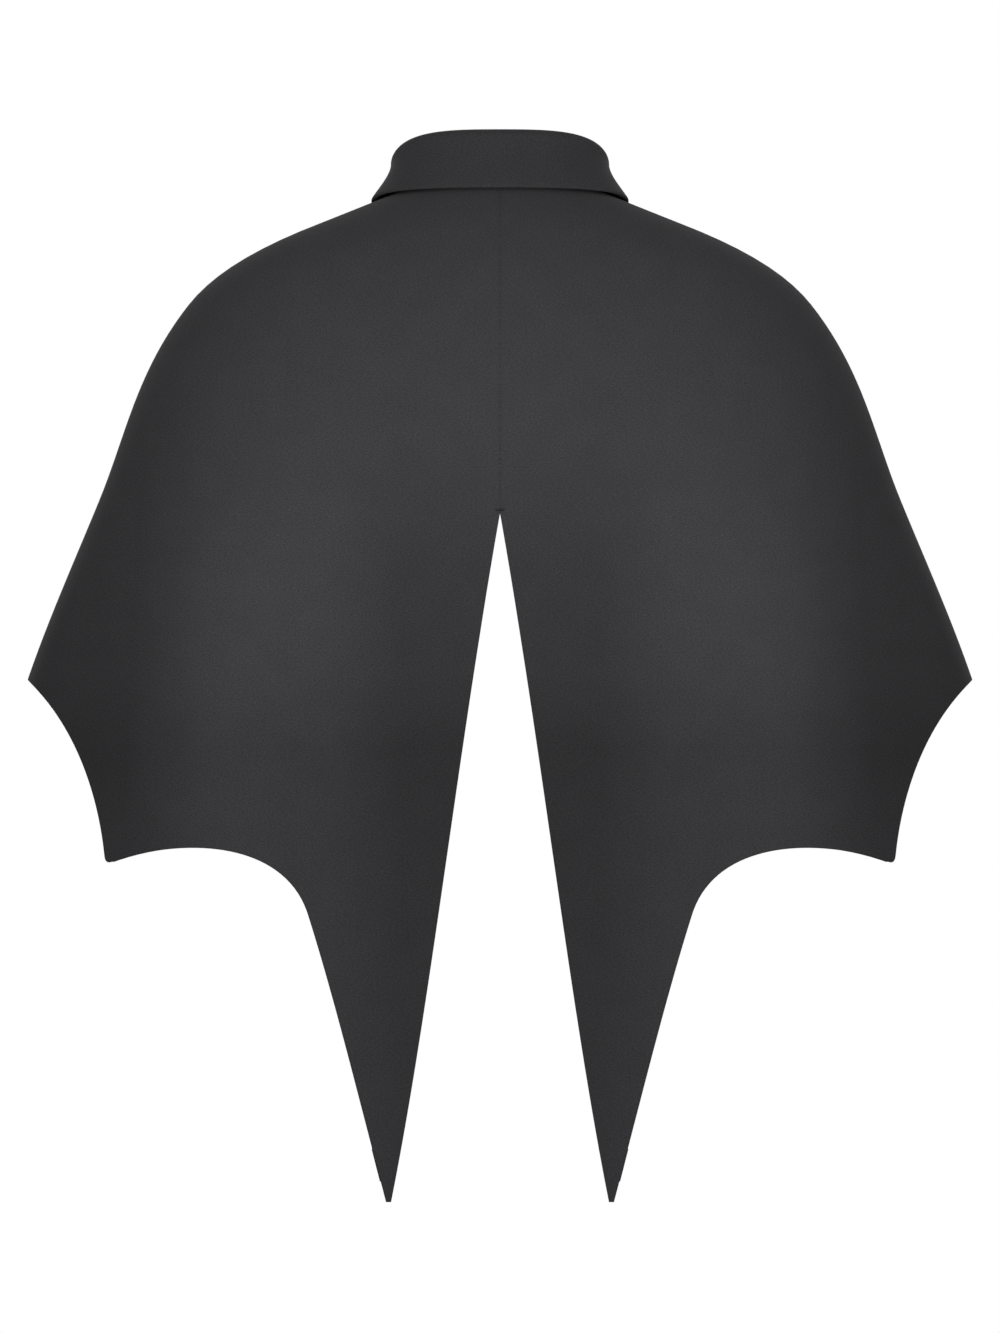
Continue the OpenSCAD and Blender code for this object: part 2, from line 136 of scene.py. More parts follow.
def depth(h, face):
    if face == BACK:
        swell = BACK_BULGE * (1 - np.exp((h - NECK_LEVEL) / BACK_REACH))
        return NECK_BACK + swell + BACK_FLARE * (NECK_LEVEL - h)
    swell = FRONT_BULGE * (1 - np.exp((h - NECK_LEVEL) / FRONT_REACH))
    return NECK_FRONT + swell + FRONT_FLARE * (NECK_LEVEL - h)


def ripple(a, h, face):
    """Soft folds that the heavy cloth falls into below the shoulders, out from the plain shape."""
    fall = smooth((-110 - h) / 260)
    return fall * drape(a, h, face)


def drape(a, h, face):
    """Folds fan out from the shoulders: each is a wave in the angle round the body."""
    if face == BACK:
        phase = np.radians(np.interp(a, BACK_FOLD_LINES, 180 * np.arange(len(BACK_FOLD_LINES))))
        return BACK_FOLD * np.cos(phase) * (1 - smooth((a - 70) / 20))
    wave = np.cos(np.radians(a) * FRONT_FOLDS + 0.6)
    return FRONT_FOLD_DEPTH * wave * smooth(a / 12) * (1 - smooth((a - 70) / 20))


def cloth(a, h, face):
    """Points of the cloth's outer face, shape (..., 3). a is degrees from the centre line."""
    r = np.radians(a)
    x = half_width(h) * np.sin(r)
    y = face * depth(h, face) * np.cos(r)
    lean = (NAPE_TILT if face == BACK else THROAT_TILT) * (1 - smooth((NECK_LEVEL - h) / TILT_REACH))
    z = h + lean * y
    out = ripple(a, h, face)
    if face == BACK:
        start = np.clip((HOLLOW_START - h) / (TAIL_DROP + HOLLOW_START), 0, 1)
        out = out - HOLLOW_DEPTH * start * np.exp(-((x / HOLLOW_HALF) ** 2))
    return np.stack([x, y + face * out, z], -1)


def outward(a, h, face):
    across = cloth(a + 0.4, h, face) - cloth(a - 0.4, h, face)
    down = cloth(a, h - 0.5, face) - cloth(a, h + 0.5, face)
    n = face * np.cross(across, down)
    return n / np.linalg.norm(n, axis=-1, keepdims=True)


def under_cloth(a, h, face, d):
    """Points at depth d below the cloth's outer face."""
    return cloth(a, h, face) - np.asarray(d)[..., None] * outward(a, h, face)


def hem_place(p):
    """[angle, height] of hem points given as [half-width, height]."""
    share = np.clip(p[..., 0] / half_width(p[..., 1]), 0, 1)
    return np.stack([np.degrees(np.arcsin(share)), p[..., 1]], -1)


def hem_end(t, scallop, arch, side):
    """Outer end of each row as [half-width, height]; only rows past the wing tip use it."""
    upper = bezier(scallop, np.clip((t - WING_ROW) / (1 - WING_ROW), 0, 1) ** 1.5)
    middle = bezier(arch, np.clip((t - 1) / ARCH_ROW, 0, 1))
    lower = bezier(side, np.clip((t - 1 - ARCH_ROW) / (1 - ARCH_ROW), 0, 1))
    pick = np.where((t <= 1)[:, None], upper, middle)
    return np.where((t > 1 + ARCH_ROW)[:, None], lower, pick)


def rounded_end(t, *curves):
    """hem_end with the point of the hem turned over a small radius."""
    plain = hem_end(t, *curves)
    ends = hem_end(np.array([1 - POINT_ROUNDING, 1, 1 + POINT_ROUNDING]), *curves)
    q = ((t - 1 + POINT_ROUNDING) / (2 * POINT_ROUNDING))[:, None]
    turned = (1 - q) ** 2 * ends[0] + 2 * q * (1 - q) * ends[1] + q * q * ends[2]
    return np.where((np.abs(t - 1) < POINT_ROUNDING)[:, None], turned, plain)


def row_ends(t, face):
    """Both ends of the rows t as [angle, height]: 0 is the neck, 1 the side point, 2 the corner's tip."""
    t = np.asarray(t, float)
    if face == BACK:
        heights = blend(NECK_LEVEL, VENT_EDGE[0][1], np.clip(t / VENT_ROW, 0, 1) ** 1.15)
        upper = np.stack([np.zeros_like(t), heights], -1)
        along = np.interp(t, [VENT_ROW, 1, 2], [0, VENT_FOLD, 1])
        lower = hem_place(bezier(VENT_EDGE, along))
        outer = hem_place(rounded_end(t, BACK_SCALLOP, BACK_ARCH, TAIL_SIDE))
    else:
        along = np.clip(t, 0, 1)[:, None] ** 1.15
        upper = hem_place(blend(np.array(FRONT_TOP, float), np.array(FRONT_FOLD, float), along))
        lower = hem_place(bezier(FRONT_EDGE, np.clip(t - 1, 0, 1)))
        outer = hem_place(rounded_end(t, FRONT_SCALLOP, FRONT_ARCH, CORNER_SIDE))
    seam_end = VENT_ROW if face == BACK else 1
    inner = np.where((t <= seam_end)[:, None], upper, lower)
    heights = blend(NECK_LEVEL, WING_TIP[1], np.clip(t / WING_ROW, 0, 1) ** 1.3)
    overarm = np.stack([np.full_like(t, 90.0), heights], -1)
    outer = np.where((t <= WING_ROW)[:, None], overarm, outer)
    return inner, outer


# ---------------------------------------------------------------- meshes


def skin(name, upper, lower, uv, flipped=False):
    """Closed mesh between two grids of points of one shape (rows, columns, 3)."""
    rows, columns = upper.shape[:2]
    index = np.arange(rows * columns).reshape(rows, columns)
    below = index + rows * columns

    def quads(a, b, c, d):
        return np.stack([a.ravel(), b.ravel(), c.ravel(), d.ravel()], -1)

    faces = [
        quads(index[:-1, :-1], index[1:, :-1], index[1:, 1:], index[:-1, 1:])[:, ::-1],
        quads(below[:-1, :-1], below[1:, :-1], below[1:, 1:], below[:-1, 1:]),
        quads(index[:-1, 0], index[1:, 0], below[1:, 0], below[:-1, 0]),
        quads(index[:-1, -1], index[1:, -1], below[1:, -1], below[:-1, -1])[:, ::-1],
        quads(index[0, :-1], index[0, 1:], below[0, 1:], below[0, :-1])[:, ::-1],
        quads(index[-1, :-1], index[-1, 1:], below[-1, 1:], below[-1, :-1]),
    ]
    faces = np.concatenate(faces)
    if flipped:
        faces = faces[:, ::-1]
    points = np.concatenate([upper.reshape(-1, 3), lower.reshape(-1, 3)]) * MM
    return mesh_object(name, points, faces, np.concatenate([uv.reshape(-1, 2)] * 2) * MM)


def mesh_object(name, points, faces, uv=None):
    mesh = bpy.data.meshes.new(name)
    mesh.from_pydata([tuple(p) for p in points], [], [tuple(f) for f in faces])
    if uv is not None:
        layer = mesh.uv_layers.new(name="cut")
        corners = np.zeros(len(mesh.loops), int)
        mesh.loops.foreach_get("vertex_index", corners)
        layer.data.foreach_set("uv", uv[corners].astype(np.float32).ravel())
    mesh.polygons.foreach_set("use_smooth", [True] * len(mesh.polygons))
    mesh.update()
    obj = bpy.data.objects.new(name, mesh)
    bpy.context.scene.collection.objects.link(obj)
    return obj


def edge_roll(distance, thickness):
    """How far a face sinks at a distance from the sheet's edge, so that the edge is round."""
    r = 0.47 * thickness
    x = np.clip(r - distance, 0, r)
    return r - np.sqrt(r * r - x * x)


def cut_place(a, h, face):
    """Where points lie on the flat cut, in millimetres: along the row, and down the cloth."""
    steps = np.linspace(0, 1, 17)
    around = np.stack([cloth(a * k, h, face) for k in steps])
    u = np.linalg.norm(np.diff(around, axis=0), axis=-1).sum(0)
    levels = np.linspace(NECK_LEVEL, -820, 200)
    line = cloth(np.full_like(levels, 25.0), levels, face)
    down = np.concatenate([[0], np.cumsum(np.linalg.norm(np.diff(line, axis=0), axis=-1))])
    v = np.interp(-h, -levels, down)
    return np.stack([u, -v], -1)


EDGE_STEPS = np.array([0, 0.08, 0.3, 0.85, 2.2, 5, 10])
GROOVE_DEPTH, GROOVE_WIDTH = 0.85, 1.1


def panel(name, face, side, rows, start, end, top, thickness, columns, sewn=None):
    """One layer of a panel. start and end are (share of the row, millimetres along it).

    sewn says for each row how far its two ends are seamed to the next panel: such an edge isn't rounded,
    it sinks a little into the seam's groove.
    """
    inner, outer = row_ends(rows, face)

    def place(share):
        return inner[:, None] + (outer - inner)[:, None] * share[..., None]

    def speed(share):
        q = place(np.stack([share, share + 0.002], -1))
        p = cloth(q[..., 0], q[..., 1], face)
        return np.linalg.norm(p[:, 1] - p[:, 0], axis=-1) / 0.002

    ones = np.ones(len(rows))
    speed0, speed1 = speed(0 * ones), speed(0.998 * ones)
    sewn0, sewn1 = sewn if sewn else (0 * ones, 0 * ones)
    s0 = start[0] + (1 - sewn0) * start[1] / (speed1 if start[0] else speed0)
    s1 = np.minimum(end[0] + (1 - sewn1) * end[1] / (speed1 if end[0] else speed0), 1)
    width = (s1 - s0) * (speed0 + speed1) / 2
    fit = np.minimum(1, 0.45 * width / EDGE_STEPS[-1])[:, None]
    near = s0[:, None] + EDGE_STEPS * fit / speed0[:, None]
    far = s1[:, None] - EDGE_STEPS[::-1] * fit / speed1[:, None]
    between = np.linspace(0, 1, columns + 2)[1:-1]
    middle = near[:, -1:] + (far[:, :1] - near[:, -1:]) * between
    share = np.concatenate([near, middle, far], -1)
    q = place(share)
    roll, groove = 0, 0
    for part, away, speeds in ((sewn0, share - s0[:, None], speed0), (sewn1, s1[:, None] - share, speed1)):
        distance = away * speeds[:, None]
        roll = roll + (1 - part[:, None]) * edge_roll(distance, thickness)
        groove = groove + part[:, None] * GROOVE_DEPTH * np.exp(-((distance / GROOVE_WIDTH) ** 2))
    roll = np.minimum(roll, 0.47 * thickness)
    a, h = q[..., 0], q[..., 1]
    upper = under_cloth(a, h, face, top + roll + groove)
    lower = under_cloth(a, h, face, top + thickness - roll)
    for grid in (upper, lower):
        grid[..., 0] *= side
    return skin(name, upper, lower, cut_place(a, h, face), flipped=face * side < 0)


def row_stations(first, last, spacing=0.0125):
    """Rows from first to last, closer round the wing tip, the side point and the last row."""
    fixed = [first, last, WING_ROW, VENT_ROW, 1.0, 1 + ARCH_ROW]
    fixed += list(1 + POINT_ROUNDING * np.linspace(-1, 1, 7))
    fixed += list(WING_ROW + np.array([0.004, 0.01, 0.02, 0.03]))
    fixed += [last - 0.0002, last - 0.001, last - 0.003, last - 0.007]
    rows = np.concatenate([np.arange(first, last, spacing), fixed])
    rows = np.unique(np.round(rows[(rows >= first) & (rows <= last)], 5))
    return rows


# ---------------------------------------------------------------- materials


def linear(level):
    """Scene-linear value of an 8-bit sRGB grey."""
    s = level / 255
    return s / 12.92 if s <= 0.04045 else ((s + 0.055) / 1.055) ** 2.4


class Nodes:
    """A short way to write a material's node tree."""

    def __init__(self, name):
        self.material = bpy.data.materials.new(name)
        self.material.use_nodes = True
        self.tree = self.material.node_tree
        self.shader = self.tree.nodes["Principled BSDF"]

    def add(self, kind, inputs=None, **settings):
        node = self.tree.nodes.new(kind)
        for key, value in settings.items():
            setattr(node, key, value)
        for key, value in (inputs or {}).items():
            self.put(node.inputs[key], value)
        return node

    def put(self, socket, value):
        if isinstance(value, bpy.types.NodeSocket):
            self.tree.links.new(value, socket)
        else:
            socket.default_value = value

    def noise(self, vector, scale, detail=2.0, roughness=0.5):
        inputs = {"Vector": vector, "Scale": scale, "Detail": detail, "Roughness": roughness}
        return self.add("ShaderNodeTexNoise", inputs).outputs["Fac"]

    def math(self, operation, a, b=0.0):
        return self.add("ShaderNodeMath", {0: a, 1: b}, operation=operation).outputs[0]

    def ramp(self, value, low, high, to_low, to_high):
        inputs = {0: value, 1: low, 2: high, 3: to_low, 4: to_high}
        return self.add("ShaderNodeMapRange", inputs, clamp=True).outputs[0]

    def stretched(self, vector, scale, turn=0.0):
        inputs = {"Vector": vector, "Scale": scale, "Rotation": (0, 0, turn)}
        return self.add("ShaderNodeMapping", inputs).outputs[0]

    def tinted(self, colour, value):
        """colour times value, a factor round 1."""
        node = self.add("ShaderNodeMix", data_type="RGBA", blend_type="MULTIPLY")
        node.inputs["Factor"].default_value = 1
        node.inputs["A"].default_value = (*colour, 1)
        grey = self.add("ShaderNodeCombineColor", {0: value, 1: value, 2: value}).outputs[0]
        self.tree.links.new(grey, node.inputs["B"])
        return node.outputs["Result"]

    def bump(self, height, distance, strength=1.0, normal=None):
        inputs = {"Height": height, "Distance": distance, "Strength": strength}
        if normal is not None:
            inputs["Normal"] = normal
        return self.add("ShaderNodeBump", inputs).outputs[0]

    def finish(self, **values):
        for key, value in values.items():
            self.put(self.shader.inputs[key.replace("_", " ")], value)
        return self.material


def wool_material(name, level, nap=1.0):
    """Felted wool melton: matt, with short lying fibres, a trace of twill under them, and a soft nap.

    Its colour also carries painted shade and painted light by place on the cut: painted shade in the hollow
    beside the vent, at the outer edge and across the lower part, and painted light on the raised fold
    between them and down the tails.
    """
    n = Nodes(name)
    cut = n.add("ShaderNodeUVMap", uv_map="cut").outputs[0]
    fibre_a = n.noise(n.stretched(cut, (1, 2.2, 1), 0.5), 600, 3.0, 0.65)
    fibre_b = n.noise(n.stretched(cut, (1, 2.2, 1), -0.7), 520, 3.0, 0.65)
    grain = n.noise(cut, 950, 2.5, 0.6)
    pile = n.noise(cut, 260, 3.0, 0.6)
    mottle = n.noise(cut, 34, 3.0, 0.55)
    twill = n.add("ShaderNodeTexWave", {"Vector": n.stretched(cut, (1, 1, 1), 0.9), "Scale": 160.0,
                                        "Distortion": 1.2, "Detail": 1.0, "Detail Scale": 2.0})
    fibres = n.math("ADD", n.math("ADD", fibre_a, fibre_b), grain)
    fine = n.ramp(fibres, 1.2, 1.8, 0.7, 1.32)
    patchy = n.ramp(n.math("ADD", pile, mottle), 0.75, 1.25, 0.95, 1.05)
    trace = n.ramp(twill.outputs["Fac"], 0, 1, 0.985, 1.015)
    flecks = n.ramp(n.noise(cut, 2300, 1.0, 0.5), 0.72, 0.8, 1.0, 1.45)
    value = n.math("MULTIPLY", n.math("MULTIPLY", fine, patchy), n.math("MULTIPLY", trace, flecks))
    along, down = n.add("ShaderNodeSeparateXYZ", {0: cut}).outputs[:2]
    across = n.math("ABSOLUTE", along)
    # Painted shade and painted light in place of the folds' light and shade: darker in the hollow beside
    # the vent and at the outer edge, lighter on the raised fold between them.
    painted_crease_shade = n.ramp(across, 0.08, 0.135, -0.2, 0.06)
    painted_ridge_light = n.ramp(across, 0.13, 0.21, 0.0, 0.15)
    painted_edge_shade = n.ramp(across, 0.235, 0.305, 0.0, -0.34)
    low = n.ramp(down, -0.42, -0.18, 1.0, 0.2)
    painted_crease_shade = n.math("MULTIPLY", painted_crease_shade, n.ramp(down, -0.36, -0.24, 1.0, 0.25))
    painted_fold_shading = n.math("ADD", painted_crease_shade, n.math("MULTIPLY", low, n.math("ADD", painted_ridge_light, painted_edge_shade)))
    # Painted shade across the lower part, and painted light growing down the tails.
    hem = n.math("ADD", n.ramp(down, -0.5, -0.44, -0.12, 0.0), n.ramp(down, -0.82, -0.5, 0.62, 0.0))
    # Colour factor made of all the painted shade and painted light above.
    wear_and_painted_shade = n.math("ADD", n.math("ADD", 1.0, hem), painted_fold_shading)
    value = n.math("MULTIPLY", value, wear_and_painted_shade)
    base = linear(level)
    colour = n.tinted((base * 0.985, base * 0.985, base * 1.045), value)
    height = n.math("ADD", fibres, n.math("MULTIPLY", pile, 1.2))
    normal = n.bump(height, 0.00022 * nap, 0.75)
    shader = n.shader.inputs
    shader["Sheen Weight"].default_value = 0.12
    shader["Sheen Roughness"].default_value = 0.42
    shader["Sheen Tint"].default_value = (0.86, 0.86, 0.9, 1)
    shader["Specular IOR Level"].default_value = 0.12
    rough = n.ramp(pile, 0.3, 0.7, 0.9, 0.99)
    return n.finish(Base_Color=colour, Roughness=rough, Normal=normal)


def satin_material(name, level):
    """Acetate satin lining: fine diagonal ribs and a long soft highlight."""
    n = Nodes(name)
    cut = n.add("ShaderNodeUVMap", uv_map="cut").outputs[0]
    ribs = n.add("ShaderNodeTexWave", {"Vector": n.stretched(cut, (1, 1, 1), 1.1), "Scale": 520.0,
                                       "Distortion": 0.5, "Detail": 1.0, "Detail Scale": 3.0})
    threads = n.noise(n.stretched(cut, (1, 14, 1), 1.1), 420, 2.0, 0.5)
    creases = n.noise(cut, 22, 2.0, 0.5)
    shine, wear = n.ramp(threads, 0.3, 0.7, 0.88, 1.12), n.ramp(creases, 0.3, 0.7, 0.94, 1.06)
    value = n.math("MULTIPLY", shine, wear)
    base = linear(level)
    colour = n.tinted((base, base, base * 1.12), value)
    height = n.math("ADD", ribs.outputs["Fac"], n.math("MULTIPLY", threads, 0.6))
    fine = n.bump(height, 0.00005, 0.6)
    normal = n.bump(creases, 0.004, 0.35, fine)
    shader = n.shader.inputs
    shader["Sheen Weight"].default_value = 0.1
    shader["Anisotropic"].default_value = 0.35
    shader["Specular IOR Level"].default_value = 0.5
    rough = n.ramp(threads, 0.3, 0.7, 0.34, 0.46)
    return n.finish(Base_Color=colour, Roughness=rough, Normal=normal)


def canvas_material(name, level):
    """Plain-woven interlining: two sets of threads at right angles."""
    n = Nodes(name)
    cut = n.add("ShaderNodeUVMap", uv_map="cut").outputs[0]
    thread = {"Vector": cut, "Scale": 330.0, "Distortion": 0.6}
    warp = n.add("ShaderNodeTexWave", thread, bands_direction="X")
    weft = n.add("ShaderNodeTexWave", thread, bands_direction="Y")
    slub = n.noise(n.stretched(cut, (1, 9, 1)), 160, 2.0, 0.5)
    weave = n.math("MULTIPLY", warp.outputs["Fac"], weft.outputs["Fac"])
    value = n.math("MULTIPLY", n.ramp(weave, 0, 1, 0.75, 1.1), n.ramp(slub, 0.3, 0.7, 0.92, 1.08))
    base = linear(level)
    colour = n.tinted((base, base * 0.96, base * 0.88), value)
    normal = n.bump(weave, 0.0001, 0.8)
    return n.finish(Base_Color=colour, Roughness=0.9, Normal=normal)


def thread_material(name, level):
    """Twisted sewing thread."""
    n = Nodes(name)
    place = n.add("ShaderNodeTexCoord").outputs["Object"]
    twist = n.add("ShaderNodeTexWave", {"Vector": place, "Scale": 1500.0, "Distortion": 1.0},
                  bands_direction="DIAGONAL")
    value = n.ramp(twist.outputs["Fac"], 0, 1, 0.8, 1.2)
    base = linear(level)
    normal = n.bump(twist.outputs["Fac"], 0.00008, 0.7)
    return n.finish(Base_Color=n.tinted((base, base, base), value), Roughness=0.6, Normal=normal)


def metal_material(name, level):
    """Dark lacquered press stud, a little rubbed at its high points."""
    n = Nodes(name)
    place = n.add("ShaderNodeTexCoord").outputs["Object"]
    wear_and_painted_shade = n.noise(place, 900, 3.0, 0.6)
    edge = n.ramp(n.add("ShaderNodeNewGeometry").outputs["Pointiness"], 0.5, 0.62, 0.0, 0.6)
    value = n.math("ADD", n.ramp(wear_and_painted_shade, 0.35, 0.65, 0.9, 1.1), edge)
    base = linear(level)
    n.shader.inputs["Metallic"].default_value = 1
    rough = n.ramp(wear_and_painted_shade, 0.3, 0.7, 0.24, 0.42)
    normal = n.bump(n.noise(place, 3000, 2.0, 0.5), 0.00002, 0.4)
    return n.finish(Base_Color=n.tinted((base, base, base * 1.04), value), Roughness=rough, Normal=normal)


MATERIALS = {
    "wool": wool_material("wool", 60),
    "wool_facing": wool_material("wool_facing", 57, nap=0.8),
    "lining": satin_material("lining", 34),
    "canvas": canvas_material("canvas", 150),
    "snap_metal": metal_material("snap_metal", 150),
    "label": satin_material("label", 44),
    "thread": thread_material("thread", 40),
}


def dress(obj, slot):
    obj.data.materials.clear()
    obj.data.materials.append(MATERIALS[slot])
    return obj


# ---------------------------------------------------------------- the free corners' sheets, baked in place


def fold_with(obj):
    """Bakes a sheet's placement into its mesh; the sheet isn't bent over any fold."""
    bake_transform(obj)


# ---------------------------------------------------------------- the four panels and their layers

CORNERS = {BACK: ("back", "tail"), FRONT: ("front", "front_flap")}


def panel_pieces(face, side_name):
    side = SIDES[side_name]
    fixed, corner = CORNERS[face]
    rows = row_stations(0, 2)
    sewn = (face == BACK) * (1 - smooth((rows - VENT_ROW + 0.03) / 0.03)), (rows < WING_ROW) * 1.0
    wool = panel(
        f"wool_{fixed}_{side_name}", face, side, rows, (0, 0.02), (1, -0.02), 0, WOOL, 90, sewn
    )
    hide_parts(f"{fixed}_shell_{side_name}", f"{corner}_shell_{side_name}")
    dress(wool, "wool")
    if face == BACK:
        rows = row_stations(0.2, 1.8, 0.02)
        lining_start = (0, np.interp(rows, [VENT_ROW - 0.09, VENT_ROW], [0.02, VENT_FACING_WIDTH + 0.6]))
    else:
        rows = row_stations(0, 1.6, 0.02)
        lining_start = (0, FACING_WIDTH + 0.6)
    lining = panel(
        f"lining_{fixed}_{side_name}", face, side, rows, lining_start, (1, -2), LINING_TOP, LINING, 50
    )
    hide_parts(f"{fixed}_lining_{side_name}", f"{corner}_lining_{side_name}")
    dress(lining, "lining")
    for kind, obj in (("wool", wool), ("lining", lining)):
        fold_with(obj)


for face in (BACK, FRONT):
    for side_name in SIDES:
        panel_pieces(face, side_name)


def strip_piece(
    name, face, side_name, rows, start, end, layer, columns, nodes, slot, corner=None
):
    """A narrow cloth strip that follows a panel's edge."""
    top, thickness = layer
    obj = panel(name, face, SIDES[side_name], rows, start, end, top, thickness, columns)
    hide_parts(*nodes)
    dress(obj, slot)
    if corner:
        fold_with(obj)
    else:
        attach(obj, "yoke")
    return obj


for side_name in SIDES:
    strip_piece(
        f"facing_front_{side_name}", FRONT, side_name, row_stations(0.005, 1.95, 0.02), (0, 0.3),
        (0, FACING_WIDTH), (FACING_TOP, FACING), 10,
        [f"front_facing_{side_name}", f"front_flap_facing_{side_name}"], "wool_facing", "front_flap",
    )
    strip_piece(
        f"facing_vent_{side_name}", BACK, side_name, row_stations(VENT_ROW, 1.96, 0.02), (0, 0.3),
        (0, VENT_FACING_WIDTH), (FACING_TOP, FACING), 5,
        [f"vent_facing_{side_name}", f"vent_facing_top_{side_name}"], "wool_facing",
        "tail",
    )
    strip_piece(
        f"allowance_centre_back_{side_name}", BACK, side_name, row_stations(0.1, VENT_ROW, 0.02), (0, 0.02),
        (0, ALLOWANCE_WIDTH), (SEAM_TOP, FACING), 3, [f"centre_back_allowance_{side_name}"], "wool_facing",
        None,
    )
    strip_piece(
        f"allowance_overarm_{side_name}", BACK, side_name, row_stations(0.05, 0.6, 0.0125),
        (1, -ALLOWANCE_WIDTH), (1, -0.3), (SEAM_TOP, FACING), 3, [f"overarm_allowance_{side_name}"],
        "wool_facing", None,
    )


def neck_band(name, angle, top_height, low_height, top, thickness, rows, columns):
    """A strip round the inside of the neck at the back."""
    a = np.linspace(-angle, angle, columns)
    span = top_height - low_height
    share = np.concatenate([[0, 0.01, 0.03], np.linspace(0.06, 0.94, rows), [0.97, 0.99, 1]])
    h = top_height - span * share
    a, h = np.meshgrid(a, h)
    distance = np.minimum(top_height - h, h - low_height) * 2
    roll = edge_roll(distance, thickness)
    upper = under_cloth(a, h, BACK, top + roll)
    lower = under_cloth(a, h, BACK, top + thickness - roll)
    place = cut_place(np.abs(a), h, BACK)
    place[..., 0] *= np.sign(a)
    return skin(name, upper, lower, place)


facing = neck_band("facing_back_neck", 78, 3, -24, FACING_TOP, FACING, 12, 120)
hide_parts("back_neck_facing")
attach(dress(facing, "wool_facing"), "yoke")

tape = neck_band("tape_neck_stay", 78, 3, 0, SEAM_TOP + 0.3, LINING, 4, 90)
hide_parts("neck_stay_tape")
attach(dress(tape, "canvas"), "yoke")

label = neck_band("label_neck", 16, -6, -20, LABEL_TOP, LINING, 10, 60)
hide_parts("neck_label")
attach(dress(label, "label"), "yoke")


# ---------------------------------------------------------------- the collar

COLLAR_END = 171
COLLAR_LAYER, COLLAR_CANVAS, COLLAR_GAP, COLLAR_REST = 1.2, 0.6, 0.3, 0.9
COLLAR_HEIGHT, ROLL_HALF_WIDTH, ROLL_RADIUS = 55, 81, 4.6
ROLL_DROP, DROP_POWER_BACK, DROP_POWER_FRONT = 21, 1.6, 1.35
EDGE_BACK, EDGE_SIDE, EDGE_FRONT = -9.5, -5, -40
COLLAR_HALF = COLLAR_LAYER + COLLAR_CANVAS / 2 + COLLAR_GAP


def on_cape(a, h, up):
    """Points above the cape at angle a round the whole neck, from the centre back."""
    back = under_cloth(a, h, BACK, -up * np.ones_like(a))
    front = under_cloth(180 - a, h, FRONT, -up * np.ones_like(a))
    return np.where((a <= 90)[..., None], back, front)


def edge_height(a):
    back = blend(EDGE_BACK, EDGE_SIDE, smooth(a / 90))
    front = blend(EDGE_SIDE, EDGE_FRONT, smooth((a - 90) / (COLLAR_END - 90)))
    return np.where(a < 90, back, front)


def collar_middle(a, u):
    """Middle of the collar's cloth: u runs 0 to 1 up the stand, to 2 over the roll, to 3 down the fall."""
    r = np.radians(a)
    s, c = np.sin(r), np.cos(r)
    zero = np.zeros_like(a)
    around = np.stack([s, c, zero], -1)
    seam = on_cape(a, NECK_LEVEL * np.ones_like(a), COLLAR_HALF + 1.5)
    roll_depth = np.where(a <= 90, NECK_BACK - 5, NECK_FRONT + 3)
    power = np.where(a <= 90, DROP_POWER_BACK, DROP_POWER_FRONT)
    top = COLLAR_HEIGHT - COLLAR_HALF - ROLL_RADIUS - ROLL_DROP * (1 - c) ** power
    roll = np.stack([ROLL_HALF_WIDTH * s, roll_depth * c, top], -1)
    out = np.stack([s / ROLL_HALF_WIDTH, c / roll_depth, zero], -1)
    out = out / np.linalg.norm(out, axis=-1, keepdims=True)
    inside, outside = roll - ROLL_RADIUS * out, roll + ROLL_RADIUS * out
    edge = on_cape(a, edge_height(a), COLLAR_HALF + COLLAR_REST)
    fall = np.linalg.norm(edge - outside, axis=-1, keepdims=True)
    u = u[..., None]
    stand = blend(seam, inside, np.clip(u, 0, 1)) + 1.5 * np.sin(np.pi * np.clip(u, 0, 1)) * around
    turn = np.pi * (np.clip(u, 1, 2) - 1)
    over = roll - ROLL_RADIUS * np.cos(turn) * out + ROLL_RADIUS * np.sin(turn) * np.array([0, 0, 1.0])
    t = np.clip(u, 2, 3) - 2
    p1, p2 = outside - 0.35 * fall * np.array([0, 0, 1.0]), blend(outside, edge, 0.72) - 1.2 * out
    w = 1 - t
    down = w**3 * outside + 3 * w * w * t * p1 + 3 * w * t * t * p2 + t**3 * edge
    return np.where(u <= 1, stand, np.where(u <= 2, over, down))


def collar_point(a, u, d):
    """Points at height d above the middle, on the side that shows on the fall."""
    b = np.maximum(np.abs(a), 0.01)
    across = collar_middle(b + 0.4, u) - collar_middle(b - 0.4, u)
    along = collar_middle(b, np.minimum(3, u + 0.012)) - collar_middle(b, np.maximum(0, u - 0.012))
    n = np.cross(across, along)
    p = collar_middle(b, u) + d[..., None] * n / np.linalg.norm(n, axis=-1, keepdims=True)
    p[..., 0] *= np.where(a < 0, -1, 1)
    return p


